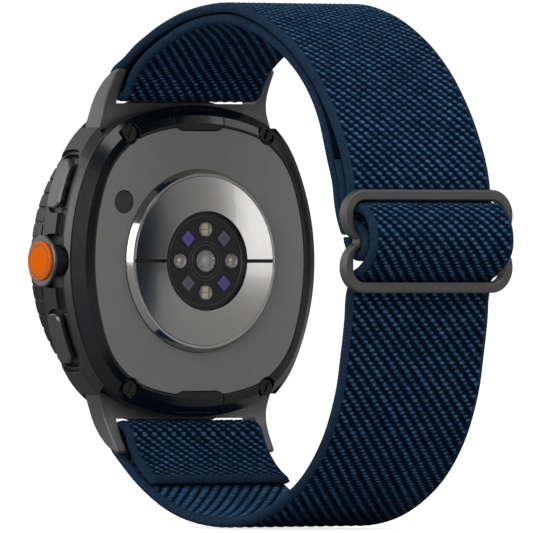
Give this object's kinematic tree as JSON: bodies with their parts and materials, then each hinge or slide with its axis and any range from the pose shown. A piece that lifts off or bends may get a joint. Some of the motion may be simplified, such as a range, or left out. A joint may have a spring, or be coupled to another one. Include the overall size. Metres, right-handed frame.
{
  "type": "smart watch with woven loop band",
  "caption": "Squircle wrist watch with a toothed turning bezel, side push buttons, a rear sensor dome and a woven elastic loop band with a metal slide adjuster.",
  "frame": {"origin": "middle of the wrist opening, on the axis of the wrist", "axes": "+X along the forearm, out of the button side of the case; +Y away from the watch's back, through the wrist, towards the slide adjuster; +Z towards twelve o'clock"},
  "size_m": [0.046, 0.068, 0.0729],
  "materials": {
    "case_metal": "satin dark grey",
    "rim_gloss": "glossy black",
    "plate_grey": "matte mid grey",
    "polished_ring": "polished",
    "electrode_steel": "radially brushed",
    "insulator_black": "black moulding",
    "lens_glass": "dark tinted, clear",
    "carrier_black": "black moulding",
    "led_silver": "clear cap over a silver lamp",
    "led_window": "clear cap over pale dies",
    "violet_window": "violet coated sensor",
    "grey_window": "grey coated sensor",
    "vent_dark": "dark membrane",
    "screw_steel": "blackened steel",
    "seal_rubber": "matte black",
    "board_green": "solder mask",
    "display_glass": "polished cover glass",
    "panel_black": "display switched off",
    "bezel_metal": "satin grey",
    "bezel_insert": "matte black with fine marks",
    "retainer_steel": "spring steel",
    "coil_copper": "enamelled copper",
    "battery_foil": "foil pouch",
    "shield_steel": "tin plated",
    "motor_steel": "plain steel",
    "speaker_black": "black frame",
    "flex_amber": "polyimide film",
    "bushing_brass": "turned brass",
    "collar_grey": "satin grey",
    "cap_orange": "satin orange",
    "ring_grey": "grey inlay",
    "pusher_metal": "satin grey with bright edges",
    "release_gloss": "glossy black",
    "spring_steel": "spring wire",
    "connector_metal": "satin dark grey",
    "pin_steel": "blackened steel",
    "band_weave": "navy woven elastic nylon",
    "stitch_thread": "navy sewing thread",
    "slider_metal": "matte dark grey"
  },
  "bodies": {
    "watch": {"mid_frame": "case_metal", "rear_cover": "rim_gloss", "rear_plate": "plate_grey", "dome_ring": "polished_ring", "electrode_upper": "electrode_steel", "electrode_lower": "electrode_steel", "electrode_insulator": "insulator_black", "sensor_lens": "lens_glass", "sensor_carrier": "carrier_black", "centre_led": "led_silver", "led_windows": "led_window", "violet_windows": "violet_window", "grey_windows": "grey_window", "vent_membrane": "vent_dark", "rear_screws": "screw_steel", "rear_seal": "seal_rubber", "sensor_board": "board_green", "display_seal": "seal_rubber", "display_glass": "display_glass", "display_panel": "panel_black", "bezel_retainer": "retainer_steel", "charging_coil": "coil_copper", "battery": "battery_foil", "main_board": "board_green", "board_shield": "shield_steel", "vibration_motor": "motor_steel", "speaker": "speaker_black", "button_flex": "flex_amber", "quick_button_bushing": "bushing_brass", "upper_release_springs": "spring_steel", "lower_release_springs": "spring_steel", "upper_connector": "connector_metal", "lower_connector": "connector_metal", "upper_band_pin": "pin_steel", "lower_band_pin": "pin_steel", "band_outer_layer": "band_weave", "band_inner_layer": "band_weave", "band_lower_run": "band_weave", "band_lower_fold": "band_weave", "band_stitching": "stitch_thread"},
    "bezel": {"rotating_bezel": "bezel_metal", "bezel_insert": "bezel_insert"},
    "quick_button": {"quick_button_collar": "collar_grey", "quick_button_seal": "seal_rubber", "quick_button_cap": "cap_orange", "quick_button_ring": "ring_grey"},
    "upper_button": {"upper_pusher": "pusher_metal", "upper_pusher_seal": "seal_rubber"},
    "lower_button": {"lower_pusher": "pusher_metal", "lower_pusher_seal": "seal_rubber"},
    "upper_release": {"upper_release_button": "release_gloss"},
    "lower_release": {"lower_release_button": "release_gloss"},
    "slider": {"slide_adjuster": "slider_metal", "band_end_fold": "band_weave", "band_slide_loop": "band_weave"}
  },
  "joints": [
    {"name": "bezel_turn", "type": "hinge", "parent": "watch", "child": "bezel", "pos_m": [0, -0.0349, 0], "axis": [0, 1, 0], "continuous": true},
    {"name": "quick_button_press", "type": "slide", "parent": "watch", "child": "quick_button", "axis": [-1, 0, 0], "range_m": [0, 0.0006], "stiffness_N_per_m": 1500},
    {"name": "upper_button_press", "type": "slide", "parent": "watch", "child": "upper_button", "axis": [-1, 0, 0], "range_m": [0, 0.0004], "stiffness_N_per_m": 1500},
    {"name": "lower_button_press", "type": "slide", "parent": "watch", "child": "lower_button", "axis": [-1, 0, 0], "range_m": [0, 0.0004], "stiffness_N_per_m": 1500},
    {"name": "upper_release_press", "type": "slide", "parent": "watch", "child": "upper_release", "axis": [0, -1, 0], "range_m": [0, 0.0009], "stiffness_N_per_m": 800, "deforming": ["upper_release_springs"]},
    {"name": "lower_release_press", "type": "slide", "parent": "watch", "child": "lower_release", "axis": [0, -1, 0], "range_m": [0, 0.0009], "stiffness_N_per_m": 800, "deforming": ["lower_release_springs"]},
    {"name": "slider_shift", "type": "slide", "parent": "watch", "child": "slider", "axis": [0, 0, 1], "range_m": [-0.005, 0.005], "deforming": ["band_outer_layer", "band_inner_layer", "band_lower_run"]}
  ]
}
